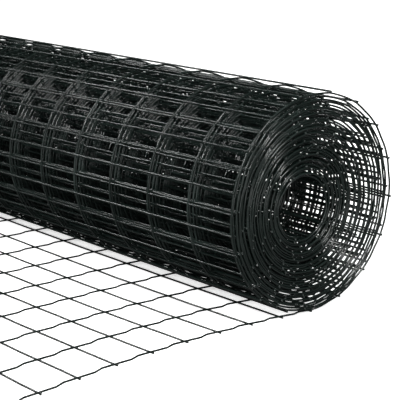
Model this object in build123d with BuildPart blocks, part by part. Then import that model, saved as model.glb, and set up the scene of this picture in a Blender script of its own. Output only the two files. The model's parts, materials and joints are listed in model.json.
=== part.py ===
"""A roll of welded wire fencing, lying on the floor with its free end unrolled in front of it.

The fence is one welded sheet: crimped line wires that run along its length and straight cross wires
that span its width, every crossing welded. Most of it is wound up. The wound turns are a turned body
with a bore, and each pair of turns stands out as a ridge on both ends. The free end is a flat sheet of
bars.

Frame, in millimetres: X runs along the roll's axis, Z is up, and the origin is on the floor at the middle
of the fence's width, under the last cross wire that the roll lies on. The free end points to -Y.
"""

import os

from build123d import *

# Wire and mesh
wire_diameter = 2.3
line_wire_pitch = 76.2
line_wire_count = 14
cross_wire_pitch = 50.8
cross_wire_tip = 1.5
line_wire_tip = 5.0
weld_sink = 0.4
bar_sides = 6

# Crimp of a line wire: one sideways jog in the middle of every cell
crimp_depth = 1.8
crimp_start_share = 0.38
crimp_end_share = 0.62

# Roll, whose axis lies in front of the last cross wire under it
axis_setback = 8.0
bore_diameter = 74.0
turn_count = 28
turn_pitch = 3.55
turns_in_ridge = 2
ridge_groove_depth = 4.0

# Unrolled free end
tail_cell_count = 9
heel_length = 20.0
seat_clearance = 0.2

# Worked out from the sizes above
edge_wire_place = line_wire_pitch * (line_wire_count - 1) / 2
fence_width = 2 * (edge_wire_place + cross_wire_tip)
roll_length = 2 * edge_wire_place + wire_diameter
sheet_thickness = 2 * wire_diameter - weld_sink
bore_radius = bore_diameter / 2
ridge_pitch = turns_in_ridge * turn_pitch
roll_radius = bore_radius + turn_count * turn_pitch
axis_height = sheet_thickness + seat_clearance + roll_radius
cross_wire_height = wire_diameter / 2
line_wire_height = sheet_thickness - wire_diameter / 2
tail_reach = tail_cell_count * cross_wire_pitch
line_wire_places = [line_wire_pitch * i - edge_wire_place for i in range(line_wire_count)]
cross_wire_places = [-cross_wire_pitch * j for j in range(tail_cell_count + 1)]


def turn_ridges(end):
    """Corners of one end from the bore out: a groove, then the crest of a ridge, up to the outer rim."""
    crest = end * roll_length / 2
    groove = end * (roll_length / 2 - ridge_groove_depth)
    corners = [(groove, bore_radius)]
    for ridge in range(turn_count // turns_in_ridge):
        inner_edge = bore_radius + ridge * ridge_pitch
        corners += [(crest, inner_edge + ridge_pitch / 2), (groove, inner_edge + ridge_pitch)]
    return corners


def crimp_corners():
    """Corners of one crimped line wire, from its free tip to the heel under the roll."""
    slope = crimp_depth / (crimp_start_share * cross_wire_pitch)
    corners = [(-slope * line_wire_tip, -tail_reach - line_wire_tip)]
    for cell_start in reversed(cross_wire_places[1:]):
        corners.append((crimp_depth, cell_start + crimp_start_share * cross_wire_pitch))
        corners.append((-crimp_depth, cell_start + crimp_end_share * cross_wire_pitch))
    corners.append((slope * heel_length, heel_length))
    return [(x, y, line_wire_height) for x, y in corners]


# Wound turns: one turned body, with a ridge for every pair of turns on each end
with BuildPart() as wound_turns:
    axis_point = (0, -axis_setback, axis_height)
    with BuildSketch(Plane(origin=axis_point, x_dir=(1, 0, 0), z_dir=(0, -1, 0))):
        with BuildLine():
            Polyline(*turn_ridges(1), *reversed(turn_ridges(-1)), close=True)
        make_face()
    revolve(axis=Axis(axis_point, (1, 0, 0)))
wound_turns.part.label = "wound_turns"

# One crimped line wire, as a bar of few sides
with BuildPart() as line_wire:
    with BuildLine() as crimped_path:
        Polyline(*crimp_corners())
    with BuildSketch(Plane(origin=crimped_path.line @ 0, x_dir=(0, 0, 1), z_dir=crimped_path.line % 0)):
        RegularPolygon(wire_diameter / 2, bar_sides, major_radius=False, rotation=180 / bar_sides)
    sweep(transition=Transition.RIGHT)

# Unrolled free end: line wires welded on top of the cross wires that lie on the floor
with BuildPart() as unrolled_tail:
    with Locations(*[(x, 0, 0) for x in line_wire_places]):
        add(line_wire.part)
    with BuildSketch(Plane.YZ.offset(-fence_width / 2)):
        with Locations(*[(y, cross_wire_height) for y in cross_wire_places]):
            RegularPolygon(wire_diameter / 2, bar_sides, major_radius=False, rotation=90 + 180 / bar_sides)
    extrude(amount=fence_width)
unrolled_tail.part.label = "unrolled_tail"

os.makedirs("parts", exist_ok=True)
for piece in (wound_turns.part, unrolled_tail.part):
    export_step(piece, f"parts/{piece.label}.step")
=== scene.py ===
"""Looks of a roll of welded wire fencing: every wire of its wound turns and of its unrolled free end.

All sizes are in metres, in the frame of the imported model: X along the roll's axis, Z up, the free end of
the sheet towards -Y. A place on the sheet is given by two numbers: its distance along the sheet from the
free end, and its X across the sheet.
"""

import json
import logging
import math
from dataclasses import dataclass
from enum import Enum
from functools import cached_property

import bpy
import numpy as np
from mathutils import Matrix, Vector


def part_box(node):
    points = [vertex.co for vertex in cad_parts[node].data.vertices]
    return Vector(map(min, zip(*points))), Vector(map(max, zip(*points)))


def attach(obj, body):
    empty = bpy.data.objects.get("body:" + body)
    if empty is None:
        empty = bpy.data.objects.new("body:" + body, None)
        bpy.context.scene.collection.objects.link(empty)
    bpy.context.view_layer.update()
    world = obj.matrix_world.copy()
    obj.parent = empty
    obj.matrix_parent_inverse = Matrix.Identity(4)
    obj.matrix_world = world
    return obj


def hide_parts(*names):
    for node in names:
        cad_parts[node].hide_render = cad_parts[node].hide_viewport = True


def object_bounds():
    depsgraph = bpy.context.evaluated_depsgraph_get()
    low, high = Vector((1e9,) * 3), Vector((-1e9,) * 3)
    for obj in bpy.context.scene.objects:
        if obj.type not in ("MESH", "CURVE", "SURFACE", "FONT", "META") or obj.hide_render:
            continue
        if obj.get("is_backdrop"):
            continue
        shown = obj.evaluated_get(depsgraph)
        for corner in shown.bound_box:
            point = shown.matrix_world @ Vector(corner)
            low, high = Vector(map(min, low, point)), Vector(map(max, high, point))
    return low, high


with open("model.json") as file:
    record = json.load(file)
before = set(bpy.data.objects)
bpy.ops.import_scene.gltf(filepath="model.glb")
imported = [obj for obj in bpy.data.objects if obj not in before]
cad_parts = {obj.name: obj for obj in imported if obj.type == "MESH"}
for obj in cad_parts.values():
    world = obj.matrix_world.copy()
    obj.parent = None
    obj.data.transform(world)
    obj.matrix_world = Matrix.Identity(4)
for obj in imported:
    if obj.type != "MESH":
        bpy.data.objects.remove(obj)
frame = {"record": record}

MM = 0.001
ALONG_X = (1.0, 0.0, 0.0)
# A direction that no cut end of a cross wire points along, to set the side of its short core by
OFF_WIRE = (0.31, 0.47, 0.83)
log = logging.getLogger("fencing_roll")


class Stretch(Enum):
    """The two stretches of the one sheet, each with the CAD node that it stands for."""

    TAIL = "unrolled_tail"
    ROLL = "wound_turns"


def linear(hex_colour: str) -> tuple[float, float, float, float]:
    """Turn an sRGB hex colour into the linear colour that shader sockets take, by the sRGB curve.

    Args:
        hex_colour: Colour such as "#3a4642".

    Returns:
        Linear red, green, blue and an alpha of one.
    """
    shares = (int(hex_colour[i : i + 2], 16) / 255 for i in (1, 3, 5))
    return (*(c / 12.92 if c <= 0.04045 else ((c + 0.055) / 1.055) ** 2.4 for c in shares), 1.0)


def empty_tree(owner: bpy.types.Material | bpy.types.World) -> bpy.types.NodeTree:
    """Turn on the nodes of a material or world and clear them.

    Args:
        owner: The material or world.

    Returns:
        Its node tree, with no node left.
    """
    owner.use_nodes = True
    owner.node_tree.nodes.clear()
    return owner.node_tree


def add_node(
    tree: bpy.types.NodeTree, kind: str, links: dict[str | int, object] | None = None, **settings: object
) -> bpy.types.Node:
    """Add one shader node with its settings and its incoming links.

    Args:
        tree: Node tree that gets the node.
        kind: Node type, such as "ShaderNodeTexNoise".
        links: Input name or index to an output socket, a number or a colour.
        **settings: Properties of the node itself, such as operation="MULTIPLY".

    Returns:
        The new node.
    """
    node = tree.nodes.new(kind)
    for name, value in settings.items():
        setattr(node, name, value)
    for name, value in (links or {}).items():
        if isinstance(value, bpy.types.NodeSocket):
            tree.links.new(value, node.inputs[name])
        else:
            node.inputs[name].default_value = value
    return node


def unit(vectors: np.ndarray) -> np.ndarray:
    """Scale vectors on the last axis to length one."""
    return vectors / np.linalg.norm(vectors, axis=-1, keepdims=True)


@dataclass(frozen=True)
class Fence:
    """The welded sheet as it leaves the factory."""

    line_pitch: float = 76.2 * MM
    cross_pitch: float = 50.8 * MM
    line_count: int = 14
    coat_diameter: float = 2.3 * MM
    core_diameter: float = 1.7 * MM
    weld_sink: float = 0.4 * MM
    edge_tip: float = 1.5 * MM
    end_tip: float = 5.0 * MM
    crimp_depth: float = 1.8 * MM
    crimp_start_share: float = 0.38
    crimp_end_share: float = 0.62

    @property
    def line_places(self) -> np.ndarray:
        """X of every line wire, from one edge to the other."""
        return (np.arange(self.line_count) - (self.line_count - 1) / 2) * self.line_pitch

    @property
    def wire_offset(self) -> float:
        """Distance between the middles of a line wire and the cross wire welded to it."""
        return self.coat_diameter - self.weld_sink

    @property
    def line_height(self) -> float:
        """Height of a line wire's middle over the floor where the sheet lies flat on its cross wires."""
        return self.coat_diameter / 2 + self.wire_offset

    def crimp(self, cell_share: np.ndarray) -> np.ndarray:
        """Sideways jog of a line wire: it drifts to +X, steps across to -X mid-cell, and drifts back.

        Args:
            cell_share: Place in the cell, from 0 at one cross wire to 1 at the next.

        Returns:
            Shift along X.
        """
        corners = (0, self.crimp_start_share, self.crimp_end_share, 1)
        return np.interp(cell_share, corners, (0, self.crimp_depth, -self.crimp_depth, 0))


@dataclass(frozen=True)
class Winding:
    """How the sheet is wound up: a spiral whose turns lie close at the front and looser at the back.

    Angles are in radians, from 0 where the sheet leaves the floor.

    Attributes:
        fence: The sheet that is wound.
        turns: Turns in the roll.
        length_steps: Points of the spiral that its length is summed over.
        contact: Y where the sheet leaves the floor.
        skew: Distance along the sheet that is gained for each metre across it.
        bore_drift: Shift of the spiral's centre along Y and Z, from the outer to the inner end.
        sag_share: How much wider than tall each turn is.
        spring_back: Distance that the outermost turn stands off, most at the angle spring_middle.
        spring_middle: Angle where it stands off most, near the top.
        spring_spread: Angle over which it falls back on both sides.
        loose_end: Distance that the sheet's inner end springs into the bore.
        loose_angle: Angle over which it does so.
        facet_share: Share of the way to the chord that the outermost line wires are drawn.
        crimp_left_share: Share of the crimp that is left where the sheet is pulled round the roll.
        tail_lift: Height of the free end's arch at its two edges.
        unevenness: Usual size of the uneven winding.
        uneven_turns: Outer turns over which it sets in.
        slack_shares: Middle and swing of its strength round a turn, strongest at the back.
        waves: Number of sine waves that it is a sum of.
        wave_rates: Slowest and fastest wave, in radians for each radian wound.
        wave_rate_shares: Range of the random factor on each rate.
        wave_lean: Largest random phase for each metre across the sheet.
        seed: Seed of the random draws.
        side_play: Largest shift of the sheet along X.
        side_rates: Rates of the two waves of that shift.
        side_phase: Phase of the first one.
    """

    fence: Fence
    turns: float = 31.09
    length_steps: int = 30000
    contact: float = -6.2 * MM
    skew: float = -0.0146
    bore_drift: tuple[float, float] = (-20.0 * MM, -2.0 * MM)
    sag_share: float = 0.012
    spring_back: float = 1.2 * MM
    spring_middle: float = 3.3
    spring_spread: float = 1.5
    loose_end: float = 9.0 * MM
    loose_angle: float = 1.3
    facet_share: float = 0.3
    crimp_left_share: float = 0.3
    tail_lift: float = 9.8 * MM
    unevenness: float = 0.48 * MM
    uneven_turns: int = 3
    slack_shares: tuple[float, float] = (0.65, 0.35)
    waves: int = 7
    wave_rates: tuple[float, float] = (0.22, 2.2)
    wave_rate_shares: tuple[float, float] = (0.85, 1.15)
    wave_lean: float = 0.5
    seed: int = 4
    side_play: float = 2.7 * MM
    side_rates: tuple[float, float] = (0.41, 1.13)
    side_phase: float = 1.0

    @cached_property
    def sweep(self) -> float:
        """Angle that the sheet turns through, from the floor under the roll to its inner end."""
        return self.turns * math.tau

    @cached_property
    def tail_reach(self) -> float:
        """Distance from the cross wire under the roll to the last one of the free end."""
        low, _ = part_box(Stretch.TAIL.value)
        return math.floor(-low.y / self.fence.cross_pitch) * self.fence.cross_pitch

    @cached_property
    def inner_radius(self) -> float:
        """Radius that the line wires' middles wind down to, just clear of the bore."""
        bore = next(m for m in frame["record"]["mounts"] if m["name"] == "core_bore")
        return bore["dims"]["r_mm"] * MM + self.fence.coat_diameter / 2

    @cached_property
    def centre_height(self) -> float:
        """Height of the outermost turn's centre, which puts the top of the spiral at the CAD roll's top.

        Returns:
            Half the roll's height, with the radius that is lost over half a turn made up.
        """
        _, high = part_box(Stretch.ROLL.value)
        outer_turn_loss = (high.z / 2 - self.inner_radius) / self.turns / 2
        return (high.z + outer_turn_loss) / 2

    @cached_property
    def outer_radius(self) -> float:
        """Radius of the outermost line wires' middles where they leave the floor."""
        return self.centre_height - self.fence.line_height

    @cached_property
    def wave_table(self) -> dict[str, np.ndarray]:
        """Seeded sine waves that the uneven winding is a sum of.

        Returns:
            The rate, the phase and the lean across the sheet of every wave.
        """
        random = np.random.default_rng(self.seed)
        rates = np.geomspace(*self.wave_rates, self.waves)
        return {
            "rate": rates * random.uniform(*self.wave_rate_shares, self.waves),
            "phase": random.uniform(0, math.tau, self.waves),
            "lean": random.uniform(-self.wave_lean, self.wave_lean, self.waves),
        }

    @cached_property
    def angle_by_distance(self) -> tuple[np.ndarray, np.ndarray]:
        """Winding angle along the sheet's middle, from the summed length of short straight steps.

        Returns:
            Distances along the sheet, and the angle at each.
        """
        angle = np.linspace(0, self.sweep, self.length_steps)
        line = self.spiral(angle, self.uneven(angle, np.zeros_like(angle)))
        steps = np.linalg.norm(np.diff(line, axis=0), axis=-1)
        start = self.tail_reach + self.contact
        return start + np.concatenate(([0], np.cumsum(steps))), angle

    @cached_property
    def cell_count(self) -> int:
        """Whole cells from the free end's last cross wire to the inner end's last one."""
        room = self.fence.end_tip + abs(self.skew) * self.fence.line_places[-1]
        return int((self.angle_by_distance[0][-1] - room) / self.fence.cross_pitch)

    def distance_at(self, cells: np.ndarray, x: np.ndarray) -> np.ndarray:
        """Distance along the sheet, cells * pitch + skew * x, as it is wound a little askew."""
        return cells * self.fence.cross_pitch + self.skew * x

    def angle_at(self, distance: np.ndarray) -> np.ndarray:
        """Winding angle at a distance along the sheet, zero all along the free end."""
        return np.interp(distance, *self.angle_by_distance)

    def wound_share(self, angle: np.ndarray) -> np.ndarray:
        """Share of the winding done, from 0 on the floor to 1 at the inner end."""
        return angle / self.sweep

    def off_floor(self, angle: np.ndarray) -> np.ndarray:
        """Share that rises from 0 to 1 over the first radian off the floor."""
        return np.clip(angle, 0, 1)

    def radius_at(self, angle: np.ndarray) -> np.ndarray:
        """Radius of an even spiral, which falls steadily from the outer to the inner one."""
        return self.outer_radius + (self.inner_radius - self.outer_radius) * self.wound_share(angle)

    def spiral(self, angle: np.ndarray, extra_radius: np.ndarray) -> np.ndarray:
        """Spiral about a centre that drifts to the front, turned up from straight below that centre.

        The point is centre + radius * (sin angle, -cos angle), with the sine stretched by the sag. The
        radius is the even one, plus a bell curve where the outermost turn springs off, less the square of
        the freed share at the inner end.

        Args:
            angle: Winding angle.
            extra_radius: Added to the radius.

        Returns:
            Y and Z of the line wires' middles, on a new last axis.
        """
        share = self.wound_share(angle)
        spring = self.spring_back * np.exp(-(((angle - self.spring_middle) / self.spring_spread) ** 2))
        freed = np.clip(1 - (self.sweep - angle) / self.loose_angle, 0, 1)
        radius = self.radius_at(angle) + spring * self.off_floor(angle) + extra_radius
        radius = radius - self.loose_end * freed**2
        y = self.contact + self.bore_drift[0] * share + radius * (1 + self.sag_share) * np.sin(angle)
        z = self.centre_height + self.bore_drift[1] * share - radius * np.cos(angle)
        return np.stack((y, z), axis=-1)

    def uneven(self, angle: np.ndarray, x: np.ndarray) -> np.ndarray:
        """Uneven winding: a sum of sine waves along the sheet that lean across it, weak at the front.

        Args:
            angle: Winding angle.
            x: Place across the sheet.

        Returns:
            Extra radius.
        """
        table = self.wave_table
        waves = np.sin(angle[..., None] * table["rate"] + table["phase"] + x[..., None] * table["lean"])
        slack = self.slack_shares[0] + self.slack_shares[1] * np.sin(angle)
        start = np.clip(angle / (self.uneven_turns * math.tau), 0, 1)
        return self.unevenness * start * slack * waves.sum(axis=-1) / math.sqrt(self.waves / 2)

    def side_shift(self, distance: np.ndarray) -> np.ndarray:
        """Small shift of the whole sheet along X, as its turns don't lie edge on edge: two sine waves.

        Args:
            distance: Distance along the sheet.

        Returns:
            Shift along X.
        """
        angle = self.angle_at(distance)
        slow, fast = self.side_rates
        waves = np.sin(slow * angle + self.side_phase) + np.sin(fast * angle)
        return self.side_play * self.off_floor(angle) * waves / 2

    def smooth_line(self, distance: np.ndarray, x: np.ndarray) -> np.ndarray:
        """Y and Z of a line wire's middle: a low arch over the floor, highest at the edges, then the spiral.

        The arch is lift * (x / edge)^2 * sin(pi * share of the tail).

        Args:
            distance: Distance along the sheet.
            x: Place across the sheet.

        Returns:
            Y and Z on a new last axis.
        """
        angle = self.angle_at(distance)
        wound = self.spiral(angle, self.uneven(angle, x))
        lift = self.tail_lift * (x / self.fence.line_places[-1]) ** 2
        arch = lift * np.sin(math.pi * np.clip(distance / self.tail_reach, 0, 1))
        laid = np.stack((distance - self.tail_reach, self.fence.line_height + arch), axis=-1)
        return np.where(angle[..., None] > 0, wound, laid)

    def outward(self, distance: np.ndarray) -> np.ndarray:
        """Direction, as X, Y and Z, to the side that carries the cross wires: down, then out of the roll."""
        angle = self.angle_at(distance)
        return np.stack((np.zeros_like(angle), np.sin(angle), -np.cos(angle)), axis=-1)

    def line_points(self, cell: np.ndarray, share: np.ndarray, x: np.ndarray) -> np.ndarray:
        """Middles of the line wires, drawn towards the chord of each cell, because the welds take the bend.

        The point is curve + facet * (chord - curve), where the facet falls with the square of the radius.

        Args:
            cell: Cell number along the sheet from the free end; may be negative or past the last.
            share: Place in that cell, 0 to 1.
            x: Place of each line wire.

        Returns:
            Points with X, Y and Z on the last axis, one row for each line wire.
        """
        distance = self.distance_at(cell + share, x[:, None])
        across = x[:, None] * np.ones_like(distance)
        curve = self.smooth_line(distance, across)
        before = self.smooth_line(self.distance_at(cell, across), across)
        after = self.smooth_line(self.distance_at(cell + 1, across), across)
        chord = before + (after - before) * np.broadcast_to(share, distance.shape)[..., None]
        tightness = self.radius_at(self.angle_at(distance)) / self.outer_radius
        facet = self.facet_share * tightness[..., None] ** 2
        yz = curve + facet * (chord - curve)
        crimp = self.fence.crimp(np.broadcast_to(share, distance.shape))
        crimp *= np.where(self.angle_at(distance) > 0, self.crimp_left_share, 1)
        x_place = across + self.side_shift(distance) + crimp
        return np.concatenate((x_place[..., None], yz), axis=-1)


@dataclass(frozen=True)
class MeshParts:
    """Vertices, quads and end caps of a joined mesh that is still arrays."""

    vertices: np.ndarray
    quads: np.ndarray
    caps: np.ndarray

    @classmethod
    def from_rings(cls, rings: np.ndarray) -> "MeshParts":
        """Join rings of vertices into closed shapes: quads from ring to ring, and a flat cap on both ends.

        Args:
            rings: Vertices as shapes, rings, places round the ring, X Y Z.

        Returns:
            The arrays of all shapes.
        """
        index = np.arange(rings.size // 3).reshape(rings.shape[:3])
        beside = np.roll(index, -1, axis=2)
        quads = np.stack((index[:, :-1], beside[:, :-1], beside[:, 1:], index[:, 1:]), axis=-1)
        caps = np.concatenate((index[:, 0, ::-1], index[:, -1]))
        return cls(rings.reshape(-1, 3), quads.reshape(-1, 4), caps)

    @property
    def triangles(self) -> int:
        """Number of triangles that the quads and caps come to."""
        return 2 * len(self.quads) + len(self.caps) * (self.caps.shape[1] - 2)


def carried_circle(paths: np.ndarray, side: np.ndarray, radius: float, sides: int) -> MeshParts:
    """Carry a circle along each path, square to it, and close both ends with a flat cap.

    A vertex is path + reach * (cos a * side + sin a * rest), where rest = tangent x side, and the reach
    radius / cos(pi / sides) puts the flats of the few-sided ring on the circle, as on the CAD bars.

    Args:
        paths: Points as wires, points along the wire, X Y Z.
        side: Direction that is nowhere along the path, in any shape that broadcasts with the paths.
        radius: Radius of the circle.
        sides: Number of vertices round the circle.

    Returns:
        The tubes of all paths, facing outwards.
    """
    tangent = unit(np.gradient(paths, axis=1))
    first = unit(side - np.sum(side * tangent, axis=-1, keepdims=True) * tangent)
    second = np.cross(tangent, first)
    turn = np.arange(sides) * math.tau / sides
    ring = np.cos(turn)[:, None] * first[..., None, :] + np.sin(turn)[:, None] * second[..., None, :]
    return MeshParts.from_rings(paths[..., None, :] + radius / math.cos(math.pi / sides) * ring)


def carried_beads(
    places: np.ndarray, axes: np.ndarray, radius: float, sides: int, heights: tuple[float, ...]
) -> MeshParts:
    """Set a small round bead at every place, as rings of vertices about its third axis.

    A vertex is place + radius * (cos h cos a * axis1 + cos h sin a * axis2 + sin h * axis3), and the two
    end rings are closed with caps.

    Args:
        places: Middles, as places and X Y Z.
        axes: Three unit axes at every place, as places, axis, X Y Z.
        radius: Radius of a bead.
        sides: Number of vertices round a ring.
        heights: The angle h of every ring, in degrees.

    Returns:
        All beads, facing outwards.
    """
    height = np.radians(heights)[:, None]
    turn = np.arange(sides) * math.tau / sides
    grid = np.stack(
        (
            radius * np.cos(height) * np.cos(turn),
            radius * np.cos(height) * np.sin(turn),
            radius * np.sin(height) * np.ones(sides),
        ),
        axis=-1,
    )
    return MeshParts.from_rings(places[:, None, None, :] + np.einsum("hsk,pkc->phsc", grid, axes))


def make_piece(
    name: str, parts: MeshParts, material: bpy.types.Material, stretch: Stretch
) -> bpy.types.Object:
    """Put arrays into a mesh object that rides on the part and stands for one of its CAD nodes.

    Args:
        name: Name of the piece.
        parts: Its arrays.
        material: Its finish.
        stretch: The stretch of the sheet that it belongs to.

    Returns:
        The new object, smooth shaded apart from its caps.
    """
    mesh = bpy.data.meshes.new(name)
    corners = np.concatenate((parts.quads.ravel(), parts.caps.ravel()))
    totals = np.concatenate((np.full(len(parts.quads), 4), np.full(len(parts.caps), parts.caps.shape[1])))
    starts = np.concatenate(([0], np.cumsum(totals)[:-1]))
    mesh.vertices.add(len(parts.vertices))
    mesh.vertices.foreach_set("co", parts.vertices.astype(np.float32).ravel())
    mesh.loops.add(len(corners))
    mesh.loops.foreach_set("vertex_index", corners.astype(np.int32))
    mesh.polygons.add(len(totals))
    mesh.polygons.foreach_set("loop_start", starts.astype(np.int32))
    mesh.polygons.foreach_set("use_smooth", np.arange(len(totals)) < len(parts.quads))
    mesh.update(calc_edges=True)
    mesh.validate()
    mesh.materials.append(material)
    piece = bpy.data.objects.new(name, mesh)
    bpy.context.scene.collection.objects.link(piece)
    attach(piece, "root")
    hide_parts(stretch.value)
    log.info("%s: %d triangles", name, parts.triangles)
    return piece


@dataclass(frozen=True)
class Blotches:
    """A random pattern: the real size of its blotches, and how many finer layers they have."""

    size: float
    layers: float

    def inputs(self, place: bpy.types.NodeSocket) -> dict[str | int, object]:
        """Inputs of the noise node that draws the pattern at a place."""
        return {"Vector": place, "Scale": 1 / self.size, "Detail": self.layers}


@dataclass(frozen=True)
class CoatFinish:
    """PVC coat, extruded over galvanised wire: dark green-grey, satin, a little dusty and uneven."""

    # To the eye, nearly black wires with a green-grey line of light along each, dulled by dust in places
    name: str = "PVC-coated steel wire"
    deep: str = "#0e1614"
    pale: str = "#1a2723"
    mottle: Blotches = Blotches(9.0 * MM, 3.0)
    dust: str = "#3a4542"
    dust_patch: Blotches = Blotches(55.0 * MM, 4.0)
    dust_range: tuple[float, float] = (0.52, 0.78)
    dust_cover: float = 0.55
    roughness: tuple[float, float] = (0.2, 0.31)
    ior: float = 1.53
    specular: float = 0.65
    # Real orange peel is finer than this, which is as coarse as it has to be to show close up
    orange_peel: Blotches = Blotches(1.2 * MM, 2.0)
    peel_strength: float = 0.25
    peel_depth: float = 0.1 * MM

    def material(self) -> bpy.types.Material:
        """Mottled coat with thin dust in patches and a faint orange peel.

        Returns:
            The material.
        """
        material = bpy.data.materials.new(self.name)
        tree = empty_tree(material)
        place = add_node(tree, "ShaderNodeTexCoord").outputs["Object"]
        mottle = add_node(tree, "ShaderNodeTexNoise", self.mottle.inputs(place))
        patch = add_node(tree, "ShaderNodeTexNoise", self.dust_patch.inputs(place))
        peel = add_node(tree, "ShaderNodeTexNoise", self.orange_peel.inputs(place))
        dusty = add_node(
            tree,
            "ShaderNodeMapRange",
            {
                "Value": patch.outputs["Fac"],
                "From Min": self.dust_range[0],
                "From Max": self.dust_range[1],
                "To Max": self.dust_cover,
            },
        )
        coat = add_node(
            tree,
            "ShaderNodeMix",
            {"Factor": mottle.outputs["Fac"], "A": linear(self.deep), "B": linear(self.pale)},
            data_type="RGBA",
        )
        colour = add_node(
            tree,
            "ShaderNodeMix",
            {"Factor": dusty.outputs["Result"], "A": coat.outputs["Result"], "B": linear(self.dust)},
            data_type="RGBA",
        )
        satin = add_node(
            tree,
            "ShaderNodeMapRange",
            {"Value": mottle.outputs["Fac"], "To Min": self.roughness[0], "To Max": self.roughness[1]},
        )
        bump = add_node(
            tree,
            "ShaderNodeBump",
            {"Height": peel.outputs["Fac"], "Strength": self.peel_strength, "Distance": self.peel_depth},
        )
        shader = add_node(
            tree,
            "ShaderNodeBsdfPrincipled",
            {
                "Base Color": colour.outputs["Result"],
                "Roughness": satin.outputs["Result"],
                "IOR": self.ior,
                "Specular IOR Level": self.specular,
                "Normal": bump.outputs["Normal"],
            },
        )
        add_node(tree, "ShaderNodeOutputMaterial", {"Surface": shader.outputs["BSDF"]})
        return material


@dataclass(frozen=True)
class CutSteelFinish:
    """Sheared end of galvanised wire: bare bright steel with a torn, matt grain."""

    # To the eye, a small grey dot in the middle of each cut end
    name: str = "Sheared galvanised steel"
    bright: str = "#8b918f"
    dull: str = "#4a514f"
    metallic: float = 0.85
    roughness: float = 0.45
    # Coarser than real tear marks, so that the dot isn't one flat grey
    grain: Blotches = Blotches(0.8 * MM, 2.0)

    def material(self) -> bpy.types.Material:
        """Grey steel, mottled by the shear's tear.

        Returns:
            The material.
        """
        material = bpy.data.materials.new(self.name)
        tree = empty_tree(material)
        place = add_node(tree, "ShaderNodeTexCoord").outputs["Object"]
        grain = add_node(tree, "ShaderNodeTexNoise", self.grain.inputs(place))
        colour = add_node(
            tree,
            "ShaderNodeMix",
            {"Factor": grain.outputs["Fac"], "A": linear(self.dull), "B": linear(self.bright)},
            data_type="RGBA",
        )
        shader = add_node(
            tree,
            "ShaderNodeBsdfPrincipled",
            {
                "Base Color": colour.outputs["Result"],
                "Metallic": self.metallic,
                "Roughness": self.roughness,
            },
        )
        add_node(tree, "ShaderNodeOutputMaterial", {"Surface": shader.outputs["BSDF"]})
        return material


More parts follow.
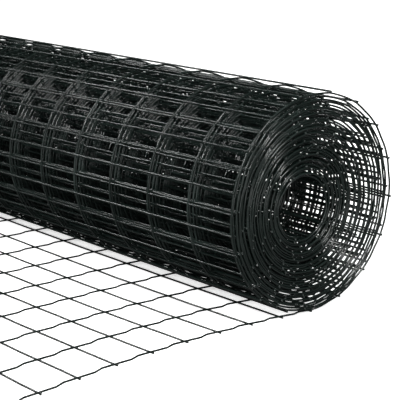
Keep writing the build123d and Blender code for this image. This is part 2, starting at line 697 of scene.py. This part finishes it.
@dataclass
class WireSheet:
    """All wires of the sheet, in one stretch or the other.

    Attributes:
        fence: Sizes of the sheet.
        winding: Where each place on it lies.
        coat: Finish of the wires.
        steel: Finish of their cut ends.
        roll_sides: Sides of a wire in the roll, and of a cut end's core.
        roll_shares: Places in each cell of the roll where a line wire has a ring.
        tail_sides: Sides of a wire in the free end.
        tail_shares: Places in each cell of the free end where a line wire has a ring.
        cross_bow: Usual bow of a cross wire between two welds.
        web_radius: Radius of the bead of coat that fills the corners of a weld.
        web_sides: Sides of that bead.
        web_heights: Angles of its rings, in degrees.
        steel_proud: Distance that a core stands out of the coat.
        seed: Seed of the random bows.
    """

    fence: Fence
    winding: Winding
    coat: bpy.types.Material
    steel: bpy.types.Material
    roll_sides: int = 6
    roll_shares: tuple[float, ...] = (0.0, 0.2, 0.36, 0.5, 0.64, 0.8)
    tail_sides: int = 10
    tail_shares: tuple[float, ...] = (0.0, 0.12, 0.24, 0.33, 0.38, 0.43, 0.5, 0.57, 0.62, 0.67, 0.76, 0.88)
    cross_bow: float = 0.45 * MM
    web_radius: float = 1.9 * MM
    web_sides: int = 6
    web_heights: tuple[float, ...] = (-50.0, 0.0, 50.0)
    steel_proud: float = 0.12 * MM
    seed: int = 11

    @cached_property
    def tail_cells(self) -> int:
        """Number of cells that lie on the floor."""
        return round(self.winding.tail_reach / self.fence.cross_pitch)

    def crossings(self, stretch: Stretch) -> np.ndarray:
        """Number the cross wires of a stretch; the one under the roll is the free end's.

        Args:
            stretch: The stretch of the sheet.

        Returns:
            Numbers, counted from the free end's last cross wire.
        """
        if stretch is Stretch.TAIL:
            return np.arange(0, self.tail_cells + 1)
        return np.arange(self.tail_cells + 1, self.winding.cell_count + 1)

    def line_paths(self, stretch: Stretch) -> np.ndarray:
        """Paths of the line wires, at set shares of every cell, with a short tip past the outer cross wire.

        Args:
            stretch: The stretch of the sheet.

        Returns:
            Points as wires, points along the wire, X Y Z.
        """
        on_tail = stretch is Stretch.TAIL
        first, last = (0, self.tail_cells) if on_tail else (self.tail_cells, self.winding.cell_count)
        shares = self.tail_shares if on_tail else self.roll_shares
        cell = np.repeat(np.arange(first, last), len(shares))
        share = np.tile(shares, last - first)
        tip = self.fence.end_tip / self.fence.cross_pitch
        if on_tail:
            cell = np.concatenate(([-1], cell, [last]))
            share = np.concatenate(([1 - tip], share, [0]))
        else:
            cell = np.concatenate((cell, [last, last]))
            share = np.concatenate((share, [0, tip]))
        return self.winding.line_points(cell, share, self.fence.line_places)

    def cross_paths(self, stretch: Stretch) -> np.ndarray:
        """Paths of the cross wires, outside the line wires, with a slight bow between welds.

        Args:
            stretch: The stretch of the sheet.

        Returns:
            Points as wires, points along the wire, X Y Z.
        """
        fence = self.fence
        number = self.crossings(stretch)
        edge = fence.line_places[-1] + fence.edge_tip
        inner = np.linspace(fence.line_places[0], fence.line_places[-1], 2 * fence.line_count - 1)
        across = np.concatenate(([-edge], inner, [edge])) * np.ones((len(number), 1))
        along = self.winding.distance_at(number[:, None], across)
        yz = self.winding.smooth_line(along, across)
        points = np.concatenate(((across + self.winding.side_shift(along))[..., None], yz), axis=-1)
        points += fence.wire_offset * self.winding.outward(along)
        random = np.random.default_rng(self.seed)
        # Only the point half-way between two welds is free to bow
        free = np.zeros(across.shape[1])
        free[2:-2:2] = 1
        bow = self.cross_bow * random.standard_normal(across.shape) * free
        if stretch is Stretch.TAIL:
            points[..., 1] += bow
        else:
            points += bow[..., None] * self.sheet_axes(along)[..., 1, :]
        return points

    def sheet_axes(self, distance: np.ndarray) -> np.ndarray:
        """Unit axes on the sheet: across it, along it and out of it.

        Args:
            distance: Distance along the sheet.

        Returns:
            The axes and their X Y Z, on the last two axes.
        """
        out = self.winding.outward(distance)
        across = np.broadcast_to(ALONG_X, out.shape)
        return np.stack((across, np.cross(out, across), out), axis=-2)

    def weld_webs(self, stretch: Stretch) -> MeshParts:
        """Beads of coat at the welds, half-way between the middles of the two wires.

        Args:
            stretch: The stretch of the sheet.

        Returns:
            The beads of all welds.
        """
        number = self.crossings(stretch)
        points = self.winding.line_points(number, np.zeros(len(number)), self.fence.line_places)
        axes = self.sheet_axes(self.winding.distance_at(number, self.fence.line_places[:, None]))
        middles = points + self.fence.wire_offset / 2 * axes[..., 2, :]
        return carried_beads(
            middles.reshape(-1, 3), axes.reshape(-1, 3, 3), self.web_radius, self.web_sides, self.web_heights
        )

    def cut_cores(self, paths: np.ndarray) -> MeshParts:
        """Bare steel of the wires' sheared ends, a short core that stands just proud of the coat.

        Args:
            paths: Wire paths whose both ends are cut.

        Returns:
            The cores of all ends.
        """
        ends = np.concatenate((paths[:, 0], paths[:, -1]))
        out = unit(np.concatenate((paths[:, 0] - paths[:, 1], paths[:, -1] - paths[:, -2])))
        steps = np.array((-self.fence.core_diameter / 2, self.steel_proud))
        cores = ends[:, None, :] + steps[:, None] * out[:, None, :]
        side = np.cross(out, OFF_WIRE)[:, None, :]
        return carried_circle(cores, side, self.fence.core_diameter / 2, self.roll_sides)

    def build(self, stretch: Stretch) -> list[bpy.types.Object]:
        """Make the pieces of one stretch: line wires in two halves, cross wires, weld webs and cut ends.

        Args:
            stretch: The stretch of the sheet.

        Returns:
            The new pieces.
        """
        label = stretch.name.lower()
        radius = self.fence.coat_diameter / 2
        lines = self.line_paths(stretch)
        crosses = self.cross_paths(stretch)
        across = np.array(ALONG_X)
        half = self.fence.line_count // 2
        sides = self.tail_sides if stretch is Stretch.TAIL else self.roll_sides
        out = self.winding.outward(self.crossings(stretch)[:, None] * self.fence.cross_pitch)
        coated = {
            "line_wires_left": carried_circle(lines[:half], across, radius, sides),
            "line_wires_right": carried_circle(lines[half:], across, radius, sides),
            "cross_wires": carried_circle(crosses, out, radius, sides),
            "weld_webs": self.weld_webs(stretch),
        }
        pieces = [make_piece(f"{label}_{name}", parts, self.coat, stretch) for name, parts in coated.items()]
        pieces.append(make_piece(f"{label}_cut_ends", self.cut_cores(crosses), self.steel, stretch))
        return pieces


@dataclass(frozen=True)
class Lamp:
    """One square soft lamp.

    Attributes:
        name: Name of the lamp.
        place: Its middle, counted from the part's middle.
        target: Point that it faces, counted from the part's middle.
        size: Length of its sides.
        power: Power in watts.
    """

    name: str
    place: tuple[float, float, float]
    target: tuple[float, float, float]
    size: float
    power: float

    def add(self, middle: Vector) -> None:
        """Put the lamp into the scene, unseen by the camera.

        Args:
            middle: The part's middle.
        """
        place = middle + Vector(self.place)
        target = middle + Vector(self.target)
        data = bpy.data.lights.new(self.name, "AREA")
        data.size = self.size
        data.energy = self.power
        lamp = bpy.data.objects.new(self.name, data)
        lamp.location = place
        lamp.rotation_mode = "QUATERNION"
        lamp.rotation_quaternion = (target - place).to_track_quat("-Z", "Y")
        lamp.visible_camera = False
        bpy.context.scene.collection.objects.link(lamp)


PART_MIDDLE = (0.0, 0.0, 0.0)
NEAR_END = (0.5, 0.0, 0.0)
STUDIO_LAMPS = (
    Lamp("key", (0.7, -2.0, 1.75), PART_MIDDLE, size=0.4, power=45.0),
    Lamp("fill", (-2.0, -0.9, 1.8), PART_MIDDLE, size=0.5, power=22.0),
    Lamp("end", (1.7, -0.2, 1.6), NEAR_END, size=0.4, power=28.0),
    Lamp("low", (2.0, -0.9, 0.1), NEAR_END, size=1.2, power=10.0),
    Lamp("back", (-0.6, 2.3, 1.0), PART_MIDDLE, size=1.0, power=25.0),
)


@dataclass(frozen=True)
class Studio:
    """White studio: a pale floor, soft lamps in front, at the near end and behind, and the photo's camera.

    Attributes:
        azimuth: Angle of the view round Z, in degrees, 0 from -Y and 90 from +X.
        elevation: Angle of the view above the floor, in degrees.
        roll: Turn of the camera about its view, in degrees.
        focal_pixels: Focal length in pixels of the image.
        image_pixels: Width of the image.
        sensor: Width of the sensor, in the camera's own millimetres.
        camera_place: Place of the camera.
        floor_size: Length of the floor's sides.
        floor_colour: Colour of the floor where it is seen.
        floor_shade: Darker colour with which it throws light back on the part.
        floor_glow: White that the floor shows beside the part, on top of its light.
        glow_reach: Distances from the frame's origin between which that white rises to one.
        painted_shade_reach: Distance within which the part's occlusion of the floor is measured for the
            painted contact shade.
        painted_shade_samples: Rays that this occlusion is measured with.
        painted_shade_shares: Open shares between which the painted shade under the part gives way to the
            floor's full white.
        ambient: Even light from all round.
        mirrored: Share of the white that mirrored rays see, as a full one greys the dark coat.
        lamps: The lamps.
    """

    azimuth: float = 48.5601
    elevation: float = 14.3255
    roll: float = -0.0312
    focal_pixels: float = 1312.55
    image_pixels: int = 400
    sensor: float = 36.0
    camera_place: tuple[float, float, float] = (1.5641, -1.1344, 0.5394)
    floor_size: float = 60.0
    floor_colour: str = "#f2f2f0"
    floor_shade: str = "#606060"
    floor_glow: float = 0.92
    glow_reach: tuple[float, float] = (0.5, 1.5)
    # Painted contact shade on the floor: ambient occlusion dims its glow under the part
    painted_shade_reach: float = 0.3
    painted_shade_samples: int = 32
    painted_shade_shares: tuple[float, float] = (0.01, 0.06)
    ambient: float = 0.01
    mirrored: float = 0.04
    lamps: tuple[Lamp, ...] = STUDIO_LAMPS

    def camera(self) -> None:
        """Set the camera at the place and angles that the photograph's wire grid gives."""
        turn, tilt, roll = (math.radians(v) for v in (self.azimuth, self.elevation, self.roll))
        level = math.cos(tilt)
        back = Vector((math.sin(turn) * level, -math.cos(turn) * level, math.sin(tilt)))
        right = Vector((math.cos(turn), math.sin(turn), 0))
        up = back.cross(right)
        x_axis = right * math.cos(roll) + up * math.sin(roll)
        y_axis = up * math.cos(roll) - right * math.sin(roll)
        turned = Matrix((x_axis, y_axis, back)).transposed().to_4x4()
        data = bpy.data.cameras.new("photo_camera")
        data.sensor_width = self.sensor
        data.lens = self.focal_pixels / self.image_pixels * self.sensor
        data.clip_end = 2 * self.floor_size
        camera = bpy.data.objects.new("photo_camera", data)
        camera.matrix_world = Matrix.Translation(self.camera_place) @ turned
        bpy.context.scene.collection.objects.link(camera)
        bpy.context.scene.camera = camera

    def shown_white(self, tree: bpy.types.NodeTree) -> bpy.types.NodeSocket:
        """Say how much of the white a ray sees: camera and transmission rays all, mirrored ones a share.

        Args:
            tree: Node tree that gets the nodes.

        Returns:
            One, the mirrored share, or zero for all other rays.
        """
        path = add_node(tree, "ShaderNodeLightPath")
        mirror = add_node(
            tree,
            "ShaderNodeMath",
            {0: path.outputs["Is Glossy Ray"], 1: self.mirrored, 2: path.outputs["Is Camera Ray"]},
            operation="MULTIPLY_ADD",
        )
        seen = add_node(
            tree,
            "ShaderNodeMath",
            {0: mirror.outputs[0], 1: path.outputs["Is Transmission Ray"]},
            operation="MAXIMUM",
        )
        return seen.outputs[0]

    def world(self) -> None:
        """White for what is seen, and a faint even light for the rest."""
        world = bpy.data.worlds.new("studio_white")
        tree = empty_tree(world)
        strength = add_node(
            tree,
            "ShaderNodeMapRange",
            {"Value": self.shown_white(tree), "To Min": self.ambient, "To Max": 1.0},
        )
        light = add_node(
            tree,
            "ShaderNodeBackground",
            {"Color": linear("#ffffff"), "Strength": strength.outputs["Result"]},
        )
        add_node(tree, "ShaderNodeOutputWorld", {"Surface": light.outputs["Background"]})
        bpy.context.scene.world = world

    def floor_material(self) -> bpy.types.Material:
        """Matt floor that takes the part's shadow and shows white where the part doesn't cover it, with
        painted contact shade: ambient occlusion dims its glow under the part.

        Returns:
            The material.
        """
        material = bpy.data.materials.new("Pale studio floor")
        tree = empty_tree(material)
        shown = self.shown_white(tree)
        tone = add_node(
            tree,
            "ShaderNodeMix",
            {"Factor": shown, "A": linear(self.floor_shade), "B": linear(self.floor_colour)},
            data_type="RGBA",
        )
        matt = add_node(tree, "ShaderNodeBsdfDiffuse", {"Color": tone.outputs["Result"]})
        place = add_node(tree, "ShaderNodeTexCoord").outputs["Object"]
        far = add_node(tree, "ShaderNodeVectorMath", {0: place}, operation="LENGTH")
        sweep = add_node(
            tree,
            "ShaderNodeMapRange",
            {
                "Value": far.outputs["Value"],
                "From Min": self.glow_reach[0],
                "From Max": self.glow_reach[1],
                "To Min": self.floor_glow,
            },
            interpolation_type="SMOOTHSTEP",
        )
        level = add_node(
            tree,
            "ShaderNodeMath",
            {0: shown, 1: sweep.outputs["Result"]},
            operation="MULTIPLY",
        )
        # Painted contact shade: ambient occlusion dims the floor's glow under and beside the part, in place
        # of a shadow cast by a lamp
        floor_occlusion = add_node(
            tree,
            "ShaderNodeAmbientOcclusion",
            {"Distance": self.painted_shade_reach},
            samples=self.painted_shade_samples,
        )
        unshaded_share = add_node(
            tree,
            "ShaderNodeMapRange",
            {
                "Value": floor_occlusion.outputs["AO"],
                "From Min": self.painted_shade_shares[0],
                "From Max": self.painted_shade_shares[1],
            },
        )
        glow_after_painted_shade = add_node(
            tree,
            "ShaderNodeMath",
            {0: level.outputs["Value"], 1: unshaded_share.outputs["Result"]},
            operation="MULTIPLY",
        )
        glow = add_node(tree, "ShaderNodeEmission", {"Strength": glow_after_painted_shade.outputs["Value"]})
        both = add_node(tree, "ShaderNodeAddShader", {0: matt.outputs["BSDF"], 1: glow.outputs["Emission"]})
        add_node(tree, "ShaderNodeOutputMaterial", {"Surface": both.outputs["Shader"]})
        return material

    def floor(self) -> None:
        """Lay the square floor."""
        half = self.floor_size / 2
        mesh = bpy.data.meshes.new("studio_floor")
        corners = [(-half, -half, 0), (half, -half, 0), (half, half, 0), (-half, half, 0)]
        mesh.from_pydata(corners, [], [(0, 1, 2, 3)])
        mesh.materials.append(self.floor_material())
        floor = bpy.data.objects.new("studio_floor", mesh)
        bpy.context.scene.collection.objects.link(floor)
        floor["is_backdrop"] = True

    def build(self) -> None:
        """Set the floor, the world, the lamps and the camera."""
        low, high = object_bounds()
        middle = (low + high) / 2
        self.floor()
        self.world()
        for lamp in self.lamps:
            lamp.add(middle)
        self.camera()
        bpy.context.scene.view_settings.view_transform = "Standard"


def main() -> None:
    """Build the studio and every wire of the fence, and note the sizes."""
    logging.basicConfig(level=logging.INFO, format="%(name)s %(message)s")
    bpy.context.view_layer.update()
    Studio().build()
    fence = Fence()
    sheet = WireSheet(fence, Winding(fence), CoatFinish().material(), CutSteelFinish().material())
    pieces = [piece for stretch in Stretch for piece in sheet.build(stretch)]
    log.info("%d pieces, %d cells along the sheet", len(pieces), sheet.winding.cell_count)


if __name__ == "__main__":
    main()
